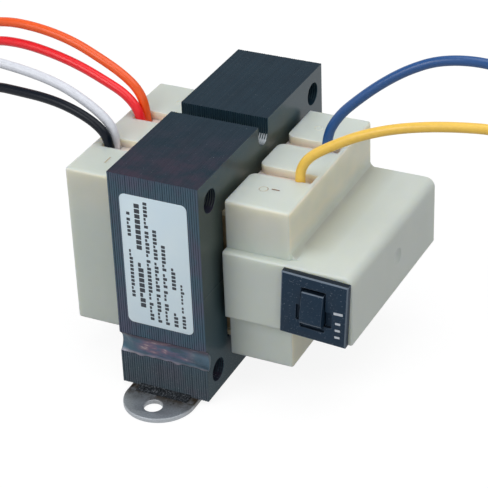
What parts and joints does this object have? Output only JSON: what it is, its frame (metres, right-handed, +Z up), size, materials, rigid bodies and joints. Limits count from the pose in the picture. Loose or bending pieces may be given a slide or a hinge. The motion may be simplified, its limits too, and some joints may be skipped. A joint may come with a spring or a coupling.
{
  "type": "electrical transformer",
  "caption": "Laminated-core control transformer on a flat strap foot, with moulded coil covers, a push-to-reset breaker in its side housing and coloured wire leads.",
  "frame": {"origin": "on the mounting plane under the foot, midway between the foot's two holes", "axes": "+Z up from the mounting plane, +Y along the core and the foot away from the nameplate, +X along the stack of sheets towards the breaker"},
  "size_m": [0.3276, 0.119, 0.097],
  "materials": {
    "core_varnish": "dark varnish over stacked sheet steel",
    "weld_metal": "heat-tinted weld",
    "foot_steel": "dull rolled steel",
    "label_film": "satin film",
    "bobbin_nylon": "moulded",
    "magnet_wire": "enamelled copper",
    "coil_tape": "impregnated tape",
    "cover_nylon": "translucent moulded nylon",
    "breaker_plastic": "moulded",
    "button_plastic": "moulded",
    "spring_steel": "drawn wire",
    "terminal_brass": "stamped",
    "bimetal": "rolled strip",
    "jumper_jacket": "wire insulation",
    "black_jacket": "wire insulation",
    "white_jacket": "wire insulation",
    "red_jacket": "wire insulation",
    "orange_jacket": "wire insulation",
    "yellow_jacket": "wire insulation",
    "blue_jacket": "wire insulation",
    "tinned_copper": "twisted bare strands"
  },
  "bodies": {
    "transformer": {"e_lamination_stack": "core_varnish", "i_lamination_stack": "core_varnish", "front_weld": "weld_metal", "rear_weld": "weld_metal", "foot_welds": "weld_metal", "mounting_foot": "foot_steel", "nameplate_label": "label_film", "bobbin": "bobbin_nylon", "primary_winding": "magnet_wire", "secondary_winding": "magnet_wire", "primary_wrap": "coil_tape", "secondary_wrap": "coil_tape", "primary_cover": "cover_nylon", "secondary_cover": "cover_nylon", "breaker_case": "breaker_plastic", "breaker_faceplate": "breaker_plastic", "button_spring": "spring_steel", "line_terminal": "terminal_brass", "load_terminal": "terminal_brass", "bimetal_strip": "bimetal", "line_jumper": "jumper_jacket", "load_jumper": "jumper_jacket", "black_lead": "black_jacket", "black_lead_strands": "tinned_copper", "white_lead": "white_jacket", "white_lead_strands": "tinned_copper", "red_lead": "red_jacket", "red_lead_strands": "tinned_copper", "orange_lead": "orange_jacket", "orange_lead_strands": "tinned_copper", "yellow_lead": "yellow_jacket", "yellow_lead_strands": "tinned_copper", "blue_lead": "blue_jacket", "blue_lead_strands": "tinned_copper"},
    "reset_button": {"reset_button": "button_plastic"}
  },
  "joints": [
    {"name": "reset_button_slide", "type": "slide", "parent": "transformer", "child": "reset_button", "axis": [0, -1, 0], "range_m": [0, 0.003], "deforming": ["button_spring"]}
  ]
}
